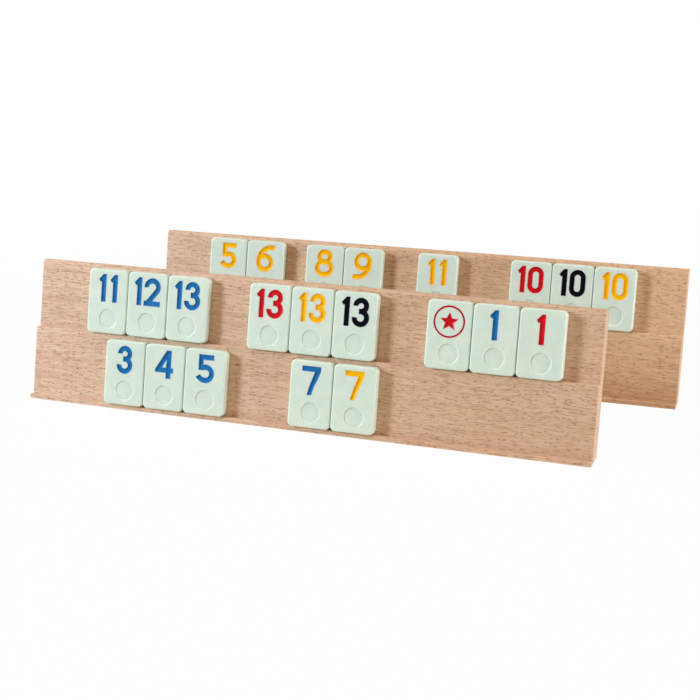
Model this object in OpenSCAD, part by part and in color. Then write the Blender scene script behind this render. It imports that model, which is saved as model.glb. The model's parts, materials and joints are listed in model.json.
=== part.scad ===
// Pair of two-tier beech racks for rummy tiles, with the 22 tiles that stand on them.
// Millimetres, +Z up, +X along the racks, +Y away from the player.
// The origin is the middle of the front rack's base, on the table.

/* [Rack] */
// Length of each rack
rack_length = 348; // [340:1:380]
// Height of the face, measured along it from the base's front edge
face_height = 86; // [85:0.5:95]
// Lean of the face back from upright, in degrees
lean = 11; // [8:0.5:16]
// Thickness of the board behind the upper tier
board_thickness = 9; // [8:0.5:12]
// Depth of each of the two ledges that tiles stand on
ledge_depth = 3.8; // [3:0.1:4.5]
// Height of the lower ledge along the face
lower_ledge_height = 2.8; // [2.5:0.1:4]
// Height of the upper ledge along the face
upper_ledge_height = 44.5; // [43.5:0.1:46]
// Radius of the rounded top edge
top_edge_radius = 2.5; // [1:0.1:3.5]
// Radius of the eased front edge of each ledge
ledge_edge_radius = 0.7; // [0.3:0.1:1]

/* [Feet] */
// Width of each wedge foot
foot_width = 16; // [12:1:24]
// Distance from the rack's end to the middle of a foot
foot_inset = 62; // [40:1:90]
// Reach of a foot along the table, behind the board
foot_reach = 42; // [36:1:60]
// Height of a foot
foot_height = 52; // [48:1:60]
// Height of the upright heel at a foot's back
heel_height = 7; // [4:0.5:12]
// Depth of a foot at its top
foot_top_depth = 6; // [4:0.5:10]
// Diameter of the dowels that pin a foot to the board
dowel_diameter = 6; // [5:0.5:7]
// Length of those dowels
dowel_length = 16; // [12:0.5:17]
// Depth to which a dowel is let into the board
dowel_in_board = 6; // [4:0.5:6]

/* [Rear rack] */
// Shift of the rear rack along X
rear_shift_x = 30.1; // [0:0.1:60]
// Distance from the front rack's base to the rear rack's base
rear_shift_y = 116.7; // [90:0.1:160]
// Turn of the rear rack about the vertical, in degrees
rear_turn = 1.3; // [0:0.1:4]

/* [Tiles] */
// Width of a tile
tile_width = 26; // [25:0.5:26]
// Height of a tile
tile_height = 39; // [37:0.5:39.5]
// Thickness of a tile
tile_thickness = 6.2; // [5:0.1:8]
// Radius of a tile's corners, seen from the front
tile_corner_radius = 3; // [2:0.1:4]
// Radius of a tile's front and back edges
tile_edge_radius = 1; // [0.5:0.1:1.5]
// Gap between neighbouring tiles
tile_gap = 0.3; // [0.1:0.01:0.4]
// Clearance of a tile from the wood
tile_clearance = 0.05; // [0.02:0.01:0.2]
// Diameter of the round dimple
dimple_diameter = 12; // [10:0.1:13]
// Depth of the dimple
dimple_depth = 0.6; // [0.3:0.1:1]
// Height of the dimple's centre above the tile's foot
dimple_height = 9; // [8:0.1:10]
// Shift of the dimple to the right of the tile's middle line
dimple_shift = 0.6; // [0:0.1:1]

/* [Numerals] */
// Height of the digits
digit_height = 16.8; // [16:0.1:17.5]
// Stroke width of the digits
digit_stroke = 3.1; // [2.6:0.1:3.1]
// Height of the digits' foot above the tile's foot
digit_base = 19.1; // [17.5:0.1:19.5]
// Depth to which the digits are engraved
pocket_depth = 0.8; // [0.4:0.05:1]
// Thickness of the paint in the engraving
paint_thickness = 0.3; // [0.1:0.05:0.35]
// Gap between the two digits of a number
digit_gap = 1.6; // [1.2:0.1:2]
// Gap between the two digits of an eleven
eleven_gap = 2.6; // [2:0.1:3]
// Outer diameter of the joker's ring
joker_ring_diameter = 18.2; // [16:0.1:19]
// Line width of the joker's ring
joker_ring_line = 1; // [0.8:0.1:1.4]
// Height of the joker's ring centre above the tile's foot
joker_height = 27.1; // [26:0.1:28]

/* [Layout] */
// Left side of the front rack's first upper group
front_upper_1 = 35.7; // [10:0.1:50]
// Left side of the front rack's second upper group
front_upper_2 = 140.9; // [130:0.1:160]
// Left side of the front rack's third upper group
front_upper_3 = 249; // [240:0.1:260]
// Left side of the front rack's first lower group
front_lower_1 = 51.7; // [10:0.1:80]
// Left side of the front rack's second lower group
front_lower_2 = 171.1; // [160:0.1:280]
// Left side of the rear rack's first group
rear_upper_1 = 34.6; // [10:0.1:48]
// Left side of the rear rack's second group
rear_upper_2 = 102.6; // [101:0.1:120]
// Left side of the rear rack's third group
rear_upper_3 = 178.5; // [174:0.1:205]
// Left side of the rear rack's fourth group
rear_upper_4 = 239; // [232:0.1:260]

/* [Hidden] */
$fn = 64;
WOOD = "#c9a17f";
DOWEL_WOOD = "#d8b795";
PLASTIC = "#dcece0";
BLUE = "#1f6fc0";
RED = "#d81e2c";
YELLOW = "#f5b800";
BLACK = "#12142a";

// The board's front edge at the base stands out from the upper face by both ledges
lip_out = 2 * ledge_depth;
base_depth = (lip_out + board_thickness) / cos(lean);
// The upper face's foot, seen from the middle of the base
face_foot_y = lip_out * cos(lean) - base_depth / 2;
face_foot_z = -lip_out * sin(lean);
tile_pitch = tile_width + tile_gap;
// The heights of a foot's two dowels, as shares of its own
dowel_shares = [0.34, 0.74];
dowel_hole_gap = 0.1;
dowel_end_gap = 0.4;
// Cuts run this far out past a tile's face
through = 1;

// Each tile: name, rack, tier, left side of its group, place in the group, figures, colour
TILES = [
    ["blue_11", "front", "upper", front_upper_1, 0, [1, 1], BLUE],
    ["blue_12", "front", "upper", front_upper_1, 1, [1, 2], BLUE],
    ["blue_13", "front", "upper", front_upper_1, 2, [1, 3], BLUE],
    ["red_13", "front", "upper", front_upper_2, 0, [1, 3], RED],
    ["yellow_13", "front", "upper", front_upper_2, 1, [1, 3], YELLOW],
    ["black_13", "front", "upper", front_upper_2, 2, [1, 3], BLACK],
    ["red_joker", "front", "upper", front_upper_3, 0, [], RED],
    ["blue_1", "front", "upper", front_upper_3, 1, [1], BLUE],
    ["red_1", "front", "upper", front_upper_3, 2, [1], RED],
    ["blue_3", "front", "lower", front_lower_1, 0, [3], BLUE],
    ["blue_4", "front", "lower", front_lower_1, 1, [4], BLUE],
    ["blue_5", "front", "lower", front_lower_1, 2, [5], BLUE],
    ["blue_7", "front", "lower", front_lower_2, 0, [7], BLUE],
    ["yellow_7", "front", "lower", front_lower_2, 1, [7], YELLOW],
    ["yellow_5", "rear", "upper", rear_upper_1, 0, [5], YELLOW],
    ["yellow_6", "rear", "upper", rear_upper_1, 1, [6], YELLOW],
    ["yellow_8", "rear", "upper", rear_upper_2, 0, [8], YELLOW],
    ["yellow_9", "rear", "upper", rear_upper_2, 1, [9], YELLOW],
    ["yellow_11", "rear", "upper", rear_upper_3, 0, [1, 1], YELLOW],
    ["red_10", "rear", "upper", rear_upper_4, 0, [1, 0], RED],
    ["black_10", "rear", "upper", rear_upper_4, 1, [1, 0], BLACK],
    ["yellow_10", "rear", "upper", rear_upper_4, 2, [1, 0], YELLOW],
];
RACKS = ["front", "rear"];
SIDES = ["left", "right"];

// A point given across the table and up from the base's middle, in the leaning frame
function leaning(y, z) = [
    (y - face_foot_y) * cos(lean) - (z - face_foot_z) * sin(lean),
    (y - face_foot_y) * sin(lean) + (z - face_foot_z) * cos(lean)
];

// Where each rack stands
module on_rack(rack) {
    if (rack == "rear")
        translate([rear_shift_x, rear_shift_y, 0]) rotate([0, 0, rear_turn]) children();
    else
        children();
}

// The leaning frame: X from the rack's left end, Y into the wood from the upper face, Z up the face
module leaning_frame() {
    translate([-rack_length / 2, face_foot_y, face_foot_z]) rotate([-lean, 0, 0]) children();
}

// An outline in Y and Z, drawn out along X
module along_x(length) {
    rotate([90, 0, 90]) linear_extrude(length) children();
}

// Rack board

module board_outline() {
    back_foot = (lip_out + board_thickness) * tan(lean);
    ledges = [[lip_out, lower_ledge_height], [ledge_depth, upper_ledge_height]];
    eased = ledge_edge_radius;
    bend = top_edge_radius;
    polygon([
        [board_thickness, back_foot],
        [board_thickness, face_height - bend],
        [board_thickness - bend, face_height - bend],
        [board_thickness - bend, face_height],
        [bend, face_height],
        [bend, face_height - bend],
        [0, face_height - bend],
        [0, upper_ledge_height],
        [eased - ledge_depth, upper_ledge_height],
        [eased - ledge_depth, upper_ledge_height - eased],
        [-ledge_depth, upper_ledge_height - eased],
        [-ledge_depth, lower_ledge_height],
        [eased - lip_out, lower_ledge_height],
        [eased - lip_out, lower_ledge_height - eased],
        [-lip_out, lower_ledge_height - eased],
        [-lip_out, 0]
    ]);
    for (ledge = ledges)
        translate([eased - ledge[0], ledge[1] - eased]) circle(eased);
    for (y = [bend, board_thickness - bend])
        translate([y, face_height - bend]) circle(bend);
}

module dowels(hole_gap, end_gap) {
    // Two dowels behind each foot, square to the board's back
    for (x = [foot_inset, rack_length - foot_inset])
        for (z = dowel_shares * foot_height)
            translate([x, board_thickness - dowel_in_board - end_gap, z])
                rotate([-90, 0, 0])
                    cylinder(d = dowel_diameter + hole_gap, h = dowel_length + 2 * end_gap);
}

module dowel_holes() {
    dowels(dowel_hole_gap, dowel_end_gap);
}

module rack_board(rack) {
    color(WOOD) on_rack(rack) leaning_frame() difference() {
        along_x(rack_length) board_outline();
        dowel_holes();
    }
}

// Feet, glued and dowelled to the board's back

module foot(rack, side) {
    x = side == "left" ? foot_inset : rack_length - foot_inset;
    back = base_depth / 2;
    top_y = back + foot_height * tan(lean);
    color(WOOD) on_rack(rack) leaning_frame() difference() {
        translate([x - foot_width / 2, 0, 0]) along_x(foot_width) polygon([
            [board_thickness, leaning(back, 0)[1]],
            leaning(back + foot_reach, 0),
            leaning(back + foot_reach, heel_height),
            leaning(top_y + foot_top_depth, foot_height),
            [board_thickness, leaning(top_y, foot_height)[1]]
        ]);
        dowel_holes();
    }
}

module foot_dowels(rack) {
    color(DOWEL_WOOD) on_rack(rack) leaning_frame() dowels(0, 0);
}

// Digits, each drawn from the lower left corner of its own box

module ring(radius, line) {
    difference() {
        circle(radius);
        circle(radius - line);
    }
}

module arc(radius, line, from, to) {
    steps = 8;
    intersection() {
        ring(radius, line);
        polygon(concat([[0, 0]], [
            for (i = [0:steps])
                let (angle = from + (to - from) * i / steps)
                    2 * radius * [cos(angle), sin(angle)]
        ]));
    }
}

module stadium(radius, height) {
    for (y = [radius, height - radius])
        translate([0, y]) circle(radius);
    translate([-radius, radius]) square([2 * radius, height - 2 * radius]);
}

tall = digit_height;
stroke = digit_stroke;
// Two bowls on one another, sharing a stroke, are this much across in sum
bowls = (tall + stroke) / 2;
// The six, the eight and the nine stand out past the others by this, above and below
round_rise = 0.4;
round_tall = tall + 2 * round_rise;
zero_radius = 5;
one_width = 5;
two_radius = 5.4;
three_top = 0.475 * bowls;
three_foot = bowls - three_top;
four_width = 11.8;
five_width = 12;
five_radius = 5.5;
six_radius = 6;
six_sweep = 10.3;
seven_width = 11.6;
eight_top_width = 10.4;
eight_foot_width = 12.7;
DIGIT_WIDTHS = [
    2 * zero_radius, one_width, 2 * two_radius, 2 * three_foot, four_width,
    five_width, 2 * six_radius, seven_width, eight_foot_width, 2 * six_radius
];

module digit_0() {
    translate([zero_radius, 0]) difference() {
        stadium(zero_radius, tall);
        translate([0, stroke]) stadium(zero_radius - stroke, tall - 2 * stroke);
    }
}

module digit_1() {
    flag = one_width - stroke;
    polygon([
        [flag, 0], [one_width, 0], [one_width, tall], [flag + 1, tall],
        [0, tall - 3.3], [1.2, tall - 5], [flag, tall - 4.5]
    ]);
}

// The point of a slanting line that lies at a height
function down_to(point, along, height) = point + along * (height - point[1]) / along[1];

module digit_2() {
    // The leg leaves the bowl close to its tangent, and both of its ends are buried
    turn = -38;
    buried = 25;
    outer_bite = 0.05;
    inner_bite = 0.1;
    centre = [two_radius, tall - two_radius];
    out = [cos(turn), sin(turn)];
    down = [sin(turn), -cos(turn)];
    outer = centre + (two_radius - outer_bite) * out;
    inner_reach = two_radius - stroke - inner_bite;
    inner = centre + inner_reach * out;
    translate(centre) arc(two_radius, stroke, turn - buried / 2, 184);
    polygon([
        outer,
        centre + (two_radius - stroke / 2) * [cos(turn + buried), sin(turn + buried)],
        inner - down * inner_reach * tan(buried),
        down_to(inner, down, stroke / 2),
        down_to(outer, down, stroke / 2)
    ]);
    square([2 * two_radius, stroke]);
}

module digit_3() {
    stub = 1.2;
    translate([three_foot, tall - three_top]) arc(three_top, stroke, -90, 182);
    translate([three_foot, three_foot]) arc(three_foot, stroke, -182, 90);
    translate([three_foot - stub, 2 * three_foot - stroke]) square([stub, stroke]);
}

module digit_4() {
    bar = 3.4;
    stem = four_width - 1.6;
    knee = 5.2;
    peak = stem - stroke;
    lean_x = (stroke + 0.1) * norm([peak, tall - knee]) / (tall - knee);
    slope = peak / (tall - knee);
    difference() {
        polygon([
            [0, bar], [0, knee], [peak, tall], [stem, tall],
            [stem, bar + stroke], [four_width, bar + stroke], [four_width, bar], [stem, bar],
            [stem, 0], [stem - stroke, 0], [stem - stroke, bar]
        ]);
        polygon([
            [lean_x + (bar + stroke - knee) * slope, bar + stroke],
            [stem - stroke, bar + stroke],
            [stem - stroke, knee + (stem - stroke - lean_x) / slope]
        ]);
    }
}

module digit_5() {
    back = 1.9;
    back_height = 9.3;
    bar_end = five_width - 0.4;
    tail = 7.2;
    centre_x = five_width - five_radius;
    translate([back, tall - stroke]) square([bar_end - back, stroke]);
    translate([back, tall - back_height]) square([stroke, back_height]);
    translate([centre_x, five_radius]) arc(five_radius, stroke, -90, 132);
    translate([centre_x, tail]) arc(tail, stroke, 213, 270);
}

module digit_6() {
    translate([0, -round_rise]) {
        translate([six_radius, six_radius]) ring(six_radius, stroke);
        translate([six_sweep, round_tall - six_sweep]) arc(six_sweep, stroke, 76, 180);
        translate([0, six_radius]) square([stroke, round_tall - six_sweep - six_radius]);
    }
}

module digit_7() {
    polygon([
        [0, tall], [seven_width, tall], [seven_width - 0.1, tall - 2.6],
        [10.2, 10.3], [8, 5.5], [6.4, 0], [3.6, 0], [5.1, 5.5],
        [6.7, 10.3], [7.9, tall - stroke], [0, tall - stroke]
    ]);
}

module bowl(width, height) {
    // A ring drawn out sideways, about its own middle
    rotate(90) translate([0, -width / 2]) difference() {
        stadium(height / 2, width);
        translate([0, stroke]) stadium(height / 2 - stroke, width - 2 * stroke);
    }
}

module digit_8() {
    // The waist is a little thicker than a stroke, and the upper bowl is the smaller one
    waist = stroke + 0.2;
    both = round_tall + 2 * stroke - waist;
    top = 0.455 * both;
    foot = both - top;
    translate([eight_foot_width / 2, -round_rise]) {
        translate([0, foot / 2]) bowl(eight_foot_width, foot);
        translate([0, round_tall - top / 2]) bowl(eight_top_width, top);
    }
}

module digit_9() {
    translate([2 * six_radius, tall]) rotate(180) digit_6();
}

module digit(value) {
    if (value == 0) digit_0();
    if (value == 1) digit_1();
    if (value == 2) digit_2();
    if (value == 3) digit_3();
    if (value == 4) digit_4();
    if (value == 5) digit_5();
    if (value == 6) digit_6();
    if (value == 7) digit_7();
    if (value == 8) digit_8();
    if (value == 9) digit_9();
}

// The joker's plain star in a ring stands in for a picture
module joker() {
    points = 5;
    tip = 5.6;
    notch = 2.5;
    translate([0, joker_height - digit_base]) {
        ring(joker_ring_diameter / 2, joker_ring_line);
        polygon([
            for (i = [0:2 * points - 1])
                let (reach = i % 2 == 0 ? tip : notch, angle = 90 + 180 * i / points)
                    reach * [cos(angle), sin(angle)]
        ]);
    }
}

// A number about the tile's middle line; a lone one is set by its stem
module figures(values) {
    gap = values == [1, 1] ? eleven_gap : digit_gap;
    first = DIGIT_WIDTHS[values[0]];
    if (len(values) == 0)
        joker();
    else if (len(values) == 1)
        translate([values[0] == 1 ? stroke / 2 - first : -first / 2, 0]) digit(values[0]);
    else {
        start = -(first + gap + DIGIT_WIDTHS[values[1]]) / 2;
        translate([start, 0]) digit(values[0]);
        translate([start + first + gap, 0]) digit(values[1]);
    }
}

// Tiles, each drawn about its own middle line, with its back at Y = 0 and its face towards -Y

module rounded_square(width, height, radius) {
    translate([-width / 2, 0]) {
        translate([radius, 0]) square([width - 2 * radius, height]);
        translate([0, radius]) square([width, height - 2 * radius]);
        for (x = [radius, width - radius])
            for (y = [radius, height - radius])
                translate([x, y]) circle(radius);
    }
}

module tile_body() {
    intersection() {
        rotate([90, 0, 0]) linear_extrude(tile_thickness)
            rounded_square(tile_width, tile_height, tile_corner_radius);
        translate([-tile_width / 2, -tile_thickness / 2, 0]) along_x(tile_width)
            rounded_square(tile_thickness, tile_height, tile_edge_radius);
        translate([0, -tile_thickness, 0]) linear_extrude(tile_height)
            rounded_square(tile_width, tile_thickness, tile_edge_radius);
    }
}

module engraved(values, depth) {
    // Figures drawn out towards the player from the floor of the engraving
    translate([0, pocket_depth - tile_thickness, digit_base])
        rotate([90, 0, 0]) linear_extrude(depth) figures(values);
}

module tile_place(tile) {
    upper = tile[2] == "upper";
    on_rack(tile[1]) leaning_frame() translate([
        tile[3] + tile[4] * tile_pitch + tile_width / 2,
        -(upper ? 0 : ledge_depth) - tile_clearance,
        (upper ? upper_ledge_height : lower_ledge_height) + tile_clearance
    ]) children();
}

module tile(tile) {
    color(PLASTIC) tile_place(tile) difference() {
        tile_body();
        engraved(tile[5], pocket_depth + through);
        translate([dimple_shift, dimple_depth - tile_thickness, dimple_height])
            rotate([90, 0, 0]) cylinder(d = dimple_diameter, h = dimple_depth + through);
    }
}

module paint(tile) {
    color(tile[6]) tile_place(tile) engraved(tile[5], paint_thickness);
}

for (rack = RACKS)
    rack_board(rack);
for (rack = RACKS)
    for (side = SIDES)
        foot(rack, side);
for (rack = RACKS)
    foot_dowels(rack);
for (tile = TILES)
    tile(tile);
for (tile = TILES)
    paint(tile);
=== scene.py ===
import json
import math

import bmesh
import bpy
from mathutils import Matrix, Vector

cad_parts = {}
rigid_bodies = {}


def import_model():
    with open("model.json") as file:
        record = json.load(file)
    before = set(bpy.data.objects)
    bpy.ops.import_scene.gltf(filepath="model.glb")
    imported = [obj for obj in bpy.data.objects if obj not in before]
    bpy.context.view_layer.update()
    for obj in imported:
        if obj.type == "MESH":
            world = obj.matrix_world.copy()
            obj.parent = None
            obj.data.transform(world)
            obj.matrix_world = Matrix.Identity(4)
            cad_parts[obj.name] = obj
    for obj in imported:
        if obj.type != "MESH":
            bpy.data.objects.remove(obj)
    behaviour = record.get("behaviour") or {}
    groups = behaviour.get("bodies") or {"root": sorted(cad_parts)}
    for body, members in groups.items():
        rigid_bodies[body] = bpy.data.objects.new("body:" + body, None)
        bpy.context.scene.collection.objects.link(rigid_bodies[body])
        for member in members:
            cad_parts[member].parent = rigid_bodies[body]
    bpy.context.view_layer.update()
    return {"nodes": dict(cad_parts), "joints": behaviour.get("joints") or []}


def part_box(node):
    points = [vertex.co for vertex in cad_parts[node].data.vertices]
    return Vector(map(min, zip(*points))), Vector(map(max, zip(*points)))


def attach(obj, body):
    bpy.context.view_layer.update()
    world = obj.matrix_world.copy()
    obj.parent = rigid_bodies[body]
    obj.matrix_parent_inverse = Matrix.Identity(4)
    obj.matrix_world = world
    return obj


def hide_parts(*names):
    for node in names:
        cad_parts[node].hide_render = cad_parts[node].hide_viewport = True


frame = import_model()
scene = bpy.context.scene

# Sizes of the pieces, in millimetres and degrees
MM = 0.001
RACK_LENGTH = 348.0
FACE_HEIGHT = 86.0
LEAN = 11.0
BOARD_THICKNESS = 9.0
LEDGE_DEPTH = 3.8
LOWER_LEDGE_HEIGHT = 2.8
UPPER_LEDGE_HEIGHT = 44.5
TOP_EDGE_RADIUS = 2.5
LEDGE_EDGE_RADIUS = 0.7
SAWN_EDGE_RADIUS = 0.4
FOOT_WIDTH = 16.0
FOOT_INSET = 62.0
FOOT_REACH = 42.0
FOOT_HEIGHT = 52.0
HEEL_HEIGHT = 7.0
FOOT_TOP_DEPTH = 6.0
FOOT_EDGE_RADIUS = 0.8
REAR_SHIFT = (30.1, 116.7)
REAR_TURN = 1.3
TILE_WIDTH = 26.0
TILE_HEIGHT = 39.0
TILE_THICKNESS = 6.2
TILE_CORNER_RADIUS = 3.0
TILE_EDGE_RADIUS = 1.0
DIMPLE_RADIUS = 6.0
DIMPLE_DEPTH = 0.6
DIMPLE_HEIGHT = 9.0
DIMPLE_SHIFT = 0.6
DIMPLE_RIM_RADIUS = 0.15
ENAMEL_DIP = 0.7

# The CAD's loose triangles are joined at points closer than this
JOIN_DISTANCE = 0.02
# Cuts reach this far out past a tile's face
THROUGH = 1.0
# Points no further apart than this lie together
TOUCHING = 0.01

# The camera, fitted to the photograph, with its distances in millimetres
IMAGE_SIZE = 700
FOCAL_PIXELS = 1462.3
SENSOR_WIDTH = 36.0
CAMERA_AZIMUTH = 18.99
CAMERA_ELEVATION = 15.73
CAMERA_ROLL = 0.655
CAMERA_DISTANCE = 832.1
CAMERA_TARGET = (32.2, -1.0, 49.9)

# The lamps are aimed at this point, given in metres
LAMP_AIM = Vector((0, 0, 0.04))

# The board's lip stands out from the upper face by both ledges
lip_out = 2 * LEDGE_DEPTH
lean = math.radians(LEAN)
base_depth = (lip_out + BOARD_THICKNESS) / math.cos(lean)
face_foot = Vector((0, lip_out * math.cos(lean) - base_depth / 2, -lip_out * math.sin(lean)))
tile_front = -TILE_THICKNESS / 2


# Frames, all in millimetres

def rack_turn(rack):
    """The rotation of a rack's leaning face."""
    turn = Matrix.Rotation(-lean, 4, "X")
    if rack == "rear":
        turn = Matrix.Rotation(math.radians(REAR_TURN), 4, "Z") @ turn
    return turn


def rack_frame(rack):
    """X from the rack's middle, Y into the wood from the upper face, Z up the face."""
    stand = Matrix.Identity(4)
    if rack == "rear":
        stand = Matrix.Translation((*REAR_SHIFT, 0)) @ Matrix.Rotation(math.radians(REAR_TURN), 4, "Z")
    return stand @ Matrix.Translation(face_foot) @ Matrix.Rotation(-lean, 4, "X")


def tile_frame(node, rack):
    """X, Y and Z from the tile's middle, with its face towards -Y."""
    low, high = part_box(node)
    return Matrix.Translation((low + high) / 2 / MM) @ rack_turn(rack)


def leaning(y, z):
    """A point across the table and up from the base's middle, in the rack's leaning frame."""
    across, up = y - face_foot.y, z - face_foot.z
    return (across * math.cos(lean) - up * math.sin(lean), across * math.sin(lean) + up * math.cos(lean))


# Colours and materials

def linear(code):
    """An sRGB hex colour as linear RGBA."""
    values = [int(code[i:i + 2], 16) / 255 for i in (1, 3, 5)]
    return (*[v / 12.92 if v <= 0.04045 else ((v + 0.055) / 1.055) ** 2.4 for v in values], 1)


def add(tree, kind, inputs=(), **settings):
    """Adds a node, gives it its settings, then sets or links its inputs."""
    node = tree.nodes.new("ShaderNode" + kind)
    for name, value in settings.items():
        setattr(node, name, value)
    for socket, value in dict(inputs).items():
        if isinstance(value, bpy.types.NodeSocket):
            tree.links.new(value, node.inputs[socket])
        else:
            node.inputs[socket].default_value = value
    return node


def new_material(name):
    material = bpy.data.materials.new(name)
    material.use_nodes = True
    material.node_tree.nodes.clear()
    return material, material.node_tree


def mixed(tree, amount, first, second):
    """Two colours, the second over the first by the amount."""
    return add(tree, "Mix", {0: amount, 6: first, 7: second}, data_type="RGBA").outputs[2]


def times(tree, value, factor):
    return add(tree, "Math", {0: value, 1: factor}, operation="MULTIPLY").outputs[0]


def spread(tree, value, low, high, start=0, end=1):
    """A value between low and high, spread over the range from start to end."""
    return add(tree, "MapRange", {
        "Value": value, "From Min": low, "From Max": high, "To Min": start, "To Max": end}).outputs[0]


def edge_mask(tree, radius):
    """1 along the outer and inner edges of a shape, 0 on its faces; the radius is in millimetres."""
    flat = add(tree, "NewGeometry").outputs["Normal"]
    rounding = add(tree, "Bevel", {"Radius": radius * MM}, samples=6).outputs[0]
    # The cosine between the two normals drops where an edge is near
    bend = add(tree, "VectorMath", {0: flat, 1: rounding}, operation="DOT_PRODUCT").outputs["Value"]
    return spread(tree, bend, 0.99, 0.88)


# Beech, planed and sanded under a thin satin lacquer. Short brown ray flecks, fine pores and slow
# bands of growth run along the plank, and the cut end shows them as dots. The colour runs from paler
# and pinker at the left end to tan a little past the middle.
def beech(name, grain_turn, start, pale, tan):
    material, tree = new_material(name)
    place = add(tree, "TexCoord").outputs["Object"]
    plank = add(tree, "Mapping", {
        "Vector": place, "Location": start, "Rotation": grain_turn, "Scale": (1 / MM,) * 3}).outputs[0]

    # The growth rings wander by a few millimetres over the plank's length
    wander = add(tree, "Mapping", {"Vector": plank, "Scale": (1 / 90, 1 / 40, 1 / 40)}).outputs[0]
    wander = add(tree, "TexNoise", {"Vector": wander, "Scale": 1, "Detail": 1}).outputs["Color"]
    wander = add(tree, "VectorMath", {0: wander, 1: (0.5, 0.5, 0.5)}, operation="SUBTRACT").outputs[0]
    wander = add(tree, "VectorMath", {0: wander, 1: (0, 9, 9)}, operation="MULTIPLY").outputs[0]
    rings = add(tree, "VectorMath", {0: plank, 1: wander}, operation="ADD").outputs[0]

    def streaks(size, low, high, detail=2):
        """Noise from 0 to 1, in patches of this length, depth and width along the plank."""
        vector = add(tree, "Mapping", {"Vector": rings, "Scale": [1 / side for side in size]})
        noise = add(tree, "TexNoise", {"Vector": vector.outputs[0], "Scale": 1, "Detail": detail})
        return spread(tree, noise.outputs["Fac"], low, high)

    # Bands of growth, threads of lighter fibre and fine dark pores, all in millimetres
    wide = streaks((220, 14, 8), 0.3, 0.7)
    narrow = streaks((60, 3, 1.5), 0.38, 0.68, detail=3)
    fibre = streaks((7, 0.7, 0.6), 0.35, 0.65, detail=3)
    pores = streaks((6, 0.5, 0.42), 0.52, 0.68, detail=1)

    # Ray flecks about 2 mm by 0.5 mm, in most of the cells that could hold one
    cells = add(tree, "Mapping", {"Vector": rings, "Scale": (1 / 3.2, 1 / 1.1, 1 / 1.1)}).outputs[0]
    cells = add(tree, "TexVoronoi", {"Vector": cells, "Scale": 1, "Randomness": 1})
    core = spread(tree, cells.outputs["Distance"], 0.14, 0.38, 1, 0)
    chance = add(tree, "SeparateColor", {0: cells.outputs["Color"]}).outputs[0]
    fleck = times(tree, core, spread(tree, chance, 0.2, 0.85))

    # Paler and pinker from the left end, turning tan a little past the middle
    along = add(tree, "SeparateXYZ", {0: place}).outputs[0]
    along = spread(tree, along, -RACK_LENGTH / 2 * MM, RACK_LENGTH / 8 * MM)
    colour = mixed(tree, along, linear(pale), linear(tan))
    layers = ((wide, 0.30, "#b98c66"), (narrow, 0.38, "#b08463"), (fibre, 0.22, "#ecd0b8"),
              (pores, 0.55, "#94683f"), (fleck, 0.70, "#85582f"))
    for layer, strength, tint in layers:
        colour = mixed(tree, times(tree, layer, strength), colour, linear(tint))

    # Edges are painted paler, in patches: partly rubbed wear from handling, partly a painted highlight
    # along the rounded edges
    patches = streaks((18, 4, 4), 0.25, 0.6)
    edge_wear_and_highlight = times(tree, times(tree, edge_mask(tree, 1.0), patches), 0.5)
    colour = mixed(tree, edge_wear_and_highlight, colour, linear("#f0d8bf"))

    relief = add(tree, "Math", {0: fibre, 1: fleck}, operation="SUBTRACT").outputs[0]
    bump = add(tree, "Bump", {"Height": relief, "Strength": 0.25, "Distance": 0.05 * MM}).outputs[0]
    sheen = spread(tree, fibre, 0, 1, 0.42, 0.55)
    wood = add(tree, "BsdfPrincipled", {
        "Base Color": colour, "Roughness": sheen, "Normal": bump, "IOR": 1.5, "Specular IOR Level": 0.3})
    add(tree, "OutputMaterial", {"Surface": wood.outputs[0]})
    return material


# Urea plastic, pressed in a polished mould. It is milky, so its edges glow a little, and its skin has a
# faint cloudiness. Its rims are painted paler, a painted highlight where the rounded edges catch the
# light.
def urea_plastic():
    material, tree = new_material("urea_plastic_moulded")
    place = add(tree, "TexCoord").outputs["Object"]
    cloud = add(tree, "TexNoise", {"Vector": place, "Scale": 1 / (7 * MM), "Detail": 3}).outputs["Fac"]
    colour = mixed(tree, spread(tree, cloud, 0.3, 0.7), linear("#d2e2d5"), linear("#dbe7d9"))
    # Painted highlight: the rims, and the edges of the engraving and the dimple, are painted paler
    colour = mixed(tree, times(tree, edge_mask(tree, 0.8), 0.35), colour, linear("#edf1e8"))
    skin = add(tree, "TexNoise", {"Vector": place, "Scale": 1 / (1.2 * MM), "Detail": 2}).outputs["Fac"]
    bump = add(tree, "Bump", {"Height": skin, "Strength": 0.12, "Distance": 0.03 * MM}).outputs[0]
    gloss = spread(tree, skin, 0, 1, 0.24, 0.34)
    plastic = add(tree, "BsdfPrincipled", {
        "Base Color": colour, "Roughness": gloss, "Normal": bump, "IOR": 1.55,
        "Subsurface Weight": 0.6, "Subsurface Radius": (1, 1, 0.95), "Subsurface Scale": 2 * MM})
    add(tree, "OutputMaterial", {"Surface": plastic.outputs[0]})
    return material


# Enamel, brushed into the engraving and wiped. It pools unevenly, so its colour and gloss vary.
# The mirror value is the strength of its reflections.
def enamel(name, thin, thick, mirror=0.15):
    material, tree = new_material(name)
    place = add(tree, "TexCoord").outputs["Object"]
    pool = add(tree, "TexNoise", {"Vector": place, "Scale": 1 / (2.5 * MM), "Detail": 2}).outputs["Fac"]
    pool = spread(tree, pool, 0.3, 0.7)
    colour = mixed(tree, pool, linear(thin), linear(thick))
    gloss = spread(tree, pool, 0, 1, 0.3, 0.42)
    paint = add(tree, "BsdfPrincipled", {
        "Base Color": colour, "Roughness": gloss, "IOR": 1.5, "Specular IOR Level": mirror})
    add(tree, "OutputMaterial", {"Surface": paint.outputs[0]})
    return material


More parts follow.
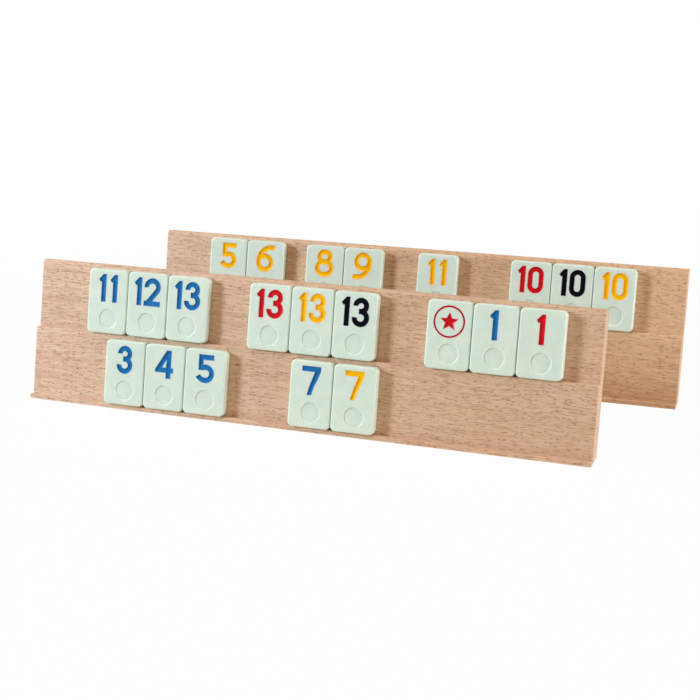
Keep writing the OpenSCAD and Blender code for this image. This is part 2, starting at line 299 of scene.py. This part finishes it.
upright_grain = (0, math.radians(90), 0)
front_beech = beech("beech_lacquered_front", (lean, 0, 0), (0, 0, 0), "#eccab0", "#d8b394")
rear_beech = beech("beech_lacquered_rear", (lean, 0, 0), (700, 90, 40), "#e9ccb0", "#dcb48c")
foot_beech = beech("beech_lacquered_feet", upright_grain, (300, 50, 60), "#d8b492", "#caa07a")
plastic = urea_plastic()
enamels = {
    "blue": enamel("enamel_blue", "#1878bc", "#0f64a2"),
    "red": enamel("enamel_red", "#d8101c", "#c00812"),
    "yellow": enamel("enamel_yellow", "#ffc400", "#f8b400"),
    "black": enamel("enamel_black", "#080916", "#04050d", 0.05),
}


# Pieces

def finish_piece(name, shape, place, material, body, node):
    """Puts a shape made in millimetres where it belongs, and lets it stand for its CAD node."""
    bmesh.ops.recalc_face_normals(shape, faces=shape.faces)
    bmesh.ops.transform(shape, matrix=Matrix.Scale(MM, 4) @ place, verts=shape.verts)
    mesh = bpy.data.meshes.new(name)
    shape.to_mesh(mesh)
    shape.free()
    mesh.materials.append(material)
    mesh.shade_smooth()
    mesh.set_sharp_from_angle(angle=math.radians(35))
    piece = bpy.data.objects.new(name, mesh)
    scene.collection.objects.link(piece)
    normals = piece.modifiers.new("even_shading", "WEIGHTED_NORMAL")
    normals.keep_sharp = True
    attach(piece, body)
    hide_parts(node)


def rounded(shape, edges, radius, segments):
    bmesh.ops.bevel(shape, geom=edges, offset=radius, segments=segments, affect="EDGES",
                    profile=0.5, material=-1, clamp_overlap=True)


def drawn_out(outline, length):
    """A closed outline in Y and Z, drawn out along X about the middle."""
    shape = bmesh.new()
    corners = [shape.verts.new((-length / 2, y, z)) for y, z in outline]
    face = shape.faces.new(corners)
    grown = bmesh.ops.extrude_face_region(shape, geom=[face])
    moved = [v for v in grown["geom"] if isinstance(v, bmesh.types.BMVert)]
    bmesh.ops.translate(shape, verts=moved, vec=(length, 0, 0))
    bmesh.ops.recalc_face_normals(shape, faces=shape.faces)
    return shape


def along_x_at(shape, y, z):
    """The long edges through a point of the outline."""
    def near(vert):
        return abs(vert.co.y - y) < TOUCHING and abs(vert.co.z - z) < TOUCHING
    return [e for e in shape.edges if near(e.verts[0]) and near(e.verts[1])]


def board_shape():
    back_foot = (lip_out + BOARD_THICKNESS) * math.tan(lean)
    shape = drawn_out([
        (-lip_out, 0), (-lip_out, LOWER_LEDGE_HEIGHT), (-LEDGE_DEPTH, LOWER_LEDGE_HEIGHT),
        (-LEDGE_DEPTH, UPPER_LEDGE_HEIGHT), (0, UPPER_LEDGE_HEIGHT), (0, FACE_HEIGHT),
        (BOARD_THICKNESS, FACE_HEIGHT), (BOARD_THICKNESS, back_foot)], RACK_LENGTH)
    top = along_x_at(shape, 0, FACE_HEIGHT) + along_x_at(shape, BOARD_THICKNESS, FACE_HEIGHT)
    rounded(shape, top, TOP_EDGE_RADIUS, 8)
    ledges = along_x_at(shape, -lip_out, LOWER_LEDGE_HEIGHT)
    ledges += along_x_at(shape, -LEDGE_DEPTH, UPPER_LEDGE_HEIGHT)
    rounded(shape, ledges, LEDGE_EDGE_RADIUS, 4)
    ends = [e for e in shape.edges if abs(abs(e.verts[0].co.x) - RACK_LENGTH / 2) < TOUCHING
            and abs(e.verts[0].co.x - e.verts[1].co.x) < TOUCHING]
    rounded(shape, ends, SAWN_EDGE_RADIUS, 3)
    return shape


def foot_shape():
    back = base_depth / 2
    top_y = back + FOOT_HEIGHT * math.tan(lean)
    shape = drawn_out([
        (BOARD_THICKNESS, leaning(back, 0)[1]),
        (BOARD_THICKNESS, leaning(top_y, FOOT_HEIGHT)[1]),
        leaning(top_y + FOOT_TOP_DEPTH, FOOT_HEIGHT),
        leaning(back + FOOT_REACH, HEEL_HEIGHT),
        leaning(back + FOOT_REACH, 0)], FOOT_WIDTH)
    glued = [e for e in shape.edges
             if all(abs(v.co.y - BOARD_THICKNESS) < TOUCHING for v in e.verts)]
    rounded(shape, [e for e in shape.edges if e not in glued], FOOT_EDGE_RADIUS, 3)
    return shape


def tile_shape():
    """A tile with rounded corners and edges, about its own middle."""
    shape = bmesh.new()
    half_width, half_height = TILE_WIDTH / 2, TILE_HEIGHT / 2
    corners = [(-half_width, -half_height), (half_width, -half_height),
               (half_width, half_height), (-half_width, half_height)]
    face = shape.faces.new([shape.verts.new((x, tile_front, z)) for x, z in corners])
    bmesh.ops.bevel(shape, geom=face.verts[:], offset=TILE_CORNER_RADIUS, segments=8,
                    affect="VERTICES", profile=0.5, material=-1)
    grown = bmesh.ops.extrude_face_region(shape, geom=shape.faces[:])
    moved = [v for v in grown["geom"] if isinstance(v, bmesh.types.BMVert)]
    bmesh.ops.translate(shape, verts=moved, vec=(0, TILE_THICKNESS, 0))
    bmesh.ops.recalc_face_normals(shape, faces=shape.faces)
    rims = [e for e in shape.edges if abs(e.verts[0].co.y - e.verts[1].co.y) < TOUCHING]
    rounded(shape, rims, TILE_EDGE_RADIUS, 5)
    return shape


def add_dimple(shape):
    """Adds the dimple to a cutter: a dish with a soft floor edge and a soft lip."""
    centre_z = DIMPLE_HEIGHT - TILE_HEIGHT / 2
    wall_slope = 0.3
    lip_flare = 0.8
    lip_rise = 0.2
    seam = 0.001
    profile = [(0, DIMPLE_DEPTH), (DIMPLE_RADIUS - wall_slope, DIMPLE_DEPTH), (DIMPLE_RADIUS, 0),
               (DIMPLE_RADIUS + lip_flare, -lip_rise), (0, -lip_rise)]
    dish = bmesh.new()
    rim = [dish.verts.new((radius, tile_front + depth, 0)) for radius, depth in profile]
    for pair in zip(rim, rim[1:]):
        dish.edges.new(pair)
    bmesh.ops.bevel(dish, geom=[rim[1], rim[2]], offset=DIMPLE_RIM_RADIUS, segments=4,
                    affect="VERTICES", profile=0.5, material=-1)
    bmesh.ops.spin(dish, geom=dish.verts[:] + dish.edges[:], cent=(0, 0, 0), axis=(0, 1, 0),
                   angle=2 * math.pi, steps=64, use_merge=True)
    bmesh.ops.remove_doubles(dish, verts=dish.verts, dist=seam)
    bmesh.ops.recalc_face_normals(dish, faces=dish.faces)
    bmesh.ops.translate(dish, verts=dish.verts, vec=(DIMPLE_SHIFT, 0, centre_z))
    mesh = bpy.data.meshes.new("dimple")
    dish.to_mesh(mesh)
    dish.free()
    shape.from_mesh(mesh)
    bpy.data.meshes.remove(mesh)


def engraving(node, place):
    """The paint of the CAD node with its triangles joined, in its tile's own frame."""
    shape = bmesh.new()
    shape.from_mesh(frame["nodes"][node].data)
    bmesh.ops.transform(shape, matrix=place.inverted() @ Matrix.Scale(1 / MM, 4), verts=shape.verts)
    bmesh.ops.remove_doubles(shape, verts=shape.verts, dist=JOIN_DISTANCE)
    shape.normal_update()
    return shape


def front_faces(shape):
    """The faces within about 25 degrees of facing -Y."""
    return [f for f in shape.faces if f.normal.y < -0.9]


def raise_front(shape, y):
    """Moves the front of a flat solid to a level."""
    front = {v for f in front_faces(shape) for v in f.verts}
    for vert in front:
        vert.co.y = y


def minus(shape, cutter):
    """A new shape: the first with the second cut out of it. Both of those are used up.

    Its points are left unmerged, because merging them can close the mouth of an engraving.
    """
    both = []
    for part in (shape, cutter):
        mesh = bpy.data.meshes.new("cut")
        part.to_mesh(mesh)
        part.free()
        both.append(bpy.data.objects.new("cut", mesh))
        scene.collection.objects.link(both[-1])
    cut = both[0].modifiers.new("cut", "BOOLEAN")
    cut.operation = "DIFFERENCE"
    cut.solver = "EXACT"
    cut.object = both[1]
    graph = bpy.context.evaluated_depsgraph_get()
    result = bmesh.new()
    result.from_object(both[0], graph)
    for part in both:
        mesh = part.data
        bpy.data.objects.remove(part)
        bpy.data.meshes.remove(mesh)
    return result


def tile_piece(name, rack, body):
    place = tile_frame("tile_" + name, rack)
    cutter = engraving("paint_" + name, place)
    raise_front(cutter, tile_front - THROUGH)
    add_dimple(cutter)
    tile = minus(tile_shape(), cutter)
    finish_piece("moulded_tile_" + name, tile, place, plastic, body, "tile_" + name)


def enamel_piece(name, rack, body):
    """The enamel fills the engraving and dips towards the middle of each stroke."""
    place = tile_frame("tile_" + name, rack)
    colour = name.split("_")[0]
    # The enamel starts just under the plastic's face and sinks in three steps, each less steep.
    # Points that a step brings too close together are joined.
    below_face = 0.02
    too_close = 0.03
    steps = ((0.2, 0.26), (0.25, 0.17), (0.3, 0.09))
    full_depth = sum(down for inward, down in steps)
    shape = engraving("paint_" + name, place)
    raise_front(shape, tile_front + below_face)
    shape.normal_update()
    for inward, down in steps:
        face = front_faces(shape)
        depth = -down * ENAMEL_DIP / full_depth
        bmesh.ops.inset_region(shape, faces=face, thickness=inward, depth=depth,
                               use_even_offset=True, use_boundary=True)
        # In a fixed order, so that the same points are kept in every run
        inner = list(dict.fromkeys(v for f in face for v in f.verts))
        bmesh.ops.remove_doubles(shape, verts=inner, dist=too_close)
    finish_piece("enamel_" + name, shape, place, enamels[colour], body,
                 "paint_" + name)


for rack, wood in (("front", front_beech), ("rear", rear_beech)):
    body = rack + "_rack"
    finish_piece(rack + "_stepped_board", board_shape(), rack_frame(rack), wood, body,
                 rack + "_rack_board")
    for side, sign in (("left", -1), ("right", 1)):
        aside = Matrix.Translation((sign * (RACK_LENGTH / 2 - FOOT_INSET), 0, 0))
        finish_piece(f"{rack}_wedge_foot_{side}", foot_shape(), rack_frame(rack) @ aside, foot_beech,
                     body, f"{rack}_foot_{side}")
    frame["nodes"][rack + "_foot_dowels"].material_slots[0].material = foot_beech

for joint in frame["joints"]:
    body = joint["child"]
    if body.endswith("_tile"):
        name = body.removesuffix("_tile")
        rack = joint["parent"].removesuffix("_rack")
        tile_piece(name, rack, body)
        enamel_piece(name, rack, body)


# Floor, light and camera

def white_to_the_camera(tree, surface, share):
    """Mixes a white glow into a surface, for camera, glossy and transmission rays only."""
    path = add(tree, "LightPath")
    seen = add(tree, "Math", {0: path.outputs["Is Camera Ray"], 1: path.outputs["Is Glossy Ray"]},
               operation="MAXIMUM")
    seen = add(tree, "Math", {0: seen.outputs[0], 1: path.outputs["Is Transmission Ray"]},
               operation="MAXIMUM")
    amount = add(tree, "Math", {0: seen.outputs[0], 1: share}, operation="MULTIPLY")
    glow = add(tree, "Emission", {"Color": (1, 1, 1, 1), "Strength": 1})
    return add(tree, "MixShader", {0: amount.outputs[0], 1: surface, 2: glow.outputs[0]}).outputs[0]


def paper_floor():
    """White paper that keeps a faint shadow near the racks and runs out into pure white."""
    # Distances from the origin, in metres
    shadowed_to = 0.35
    white_from = 0.9
    near_glow = 0.97
    material, tree = new_material("paper_sweep")
    place = add(tree, "TexCoord").outputs["Object"]
    away = add(tree, "VectorMath", {0: place}, operation="LENGTH").outputs["Value"]
    share = spread(tree, away, shadowed_to, white_from, near_glow, 1)
    paper = add(tree, "BsdfDiffuse", {"Color": linear("#e8dccb")}).outputs[0]
    add(tree, "OutputMaterial", {"Surface": white_to_the_camera(tree, paper, share)})
    bpy.ops.mesh.primitive_plane_add(size=60, location=(0, 0, 0))
    floor = bpy.context.object
    floor.name = "paper_floor"
    floor.data.materials.append(material)


def daylight_room(strength, colour):
    world = bpy.data.worlds.new("pale_room")
    scene.world = world
    world.use_nodes = True
    tree = world.node_tree
    tree.nodes.clear()
    room = add(tree, "Background", {"Color": linear(colour), "Strength": strength}).outputs[0]
    add(tree, "OutputWorld", {"Surface": white_to_the_camera(tree, room, 1)})


def softbox(name, place, size, power, colour):
    """A round lamp aimed at the racks, its place and size in metres and its power in watts."""
    light = bpy.data.lights.new(name, "AREA")
    light.shape = "DISK"
    light.size = size
    light.energy = power
    light.color = linear(colour)[:3]
    lamp = bpy.data.objects.new(name, light)
    lamp.location = place
    lamp.rotation_euler = (LAMP_AIM - Vector(place)).to_track_quat("-Z", "Y").to_euler()
    scene.collection.objects.link(lamp)


def photo_camera():
    azimuth, elevation, roll = map(math.radians, (CAMERA_AZIMUTH, CAMERA_ELEVATION, CAMERA_ROLL))
    back = Vector((math.sin(azimuth) * math.cos(elevation),
                   -math.cos(azimuth) * math.cos(elevation), math.sin(elevation)))
    place = (Vector(CAMERA_TARGET) + back * CAMERA_DISTANCE) * MM
    camera = bpy.data.objects.new("camera", bpy.data.cameras.new("camera"))
    camera.data.sensor_width = SENSOR_WIDTH
    camera.data.lens = FOCAL_PIXELS / IMAGE_SIZE * SENSOR_WIDTH
    camera.data.clip_start = 0.01
    turn = (-back).to_track_quat("-Z", "Y").to_matrix().to_4x4()
    camera.matrix_world = Matrix.Translation(place) @ turn @ Matrix.Rotation(roll, 4, "Z")
    scene.collection.objects.link(camera)
    scene.camera = camera


paper_floor()
daylight_room(0.22, "#ffe2c0")
softbox("window_left", (-2.2, -1.37, 1.04), 0.75, 79, "#d8ecff")
softbox("window_right", (1.9, -0.08, 0.4), 0.8, 30, "#eef6ff")
softbox("ceiling", (0.1, -0.2, 1.9), 1.0, 12, "#ffe6c8")
photo_camera()
scene.view_settings.view_transform = "Standard"
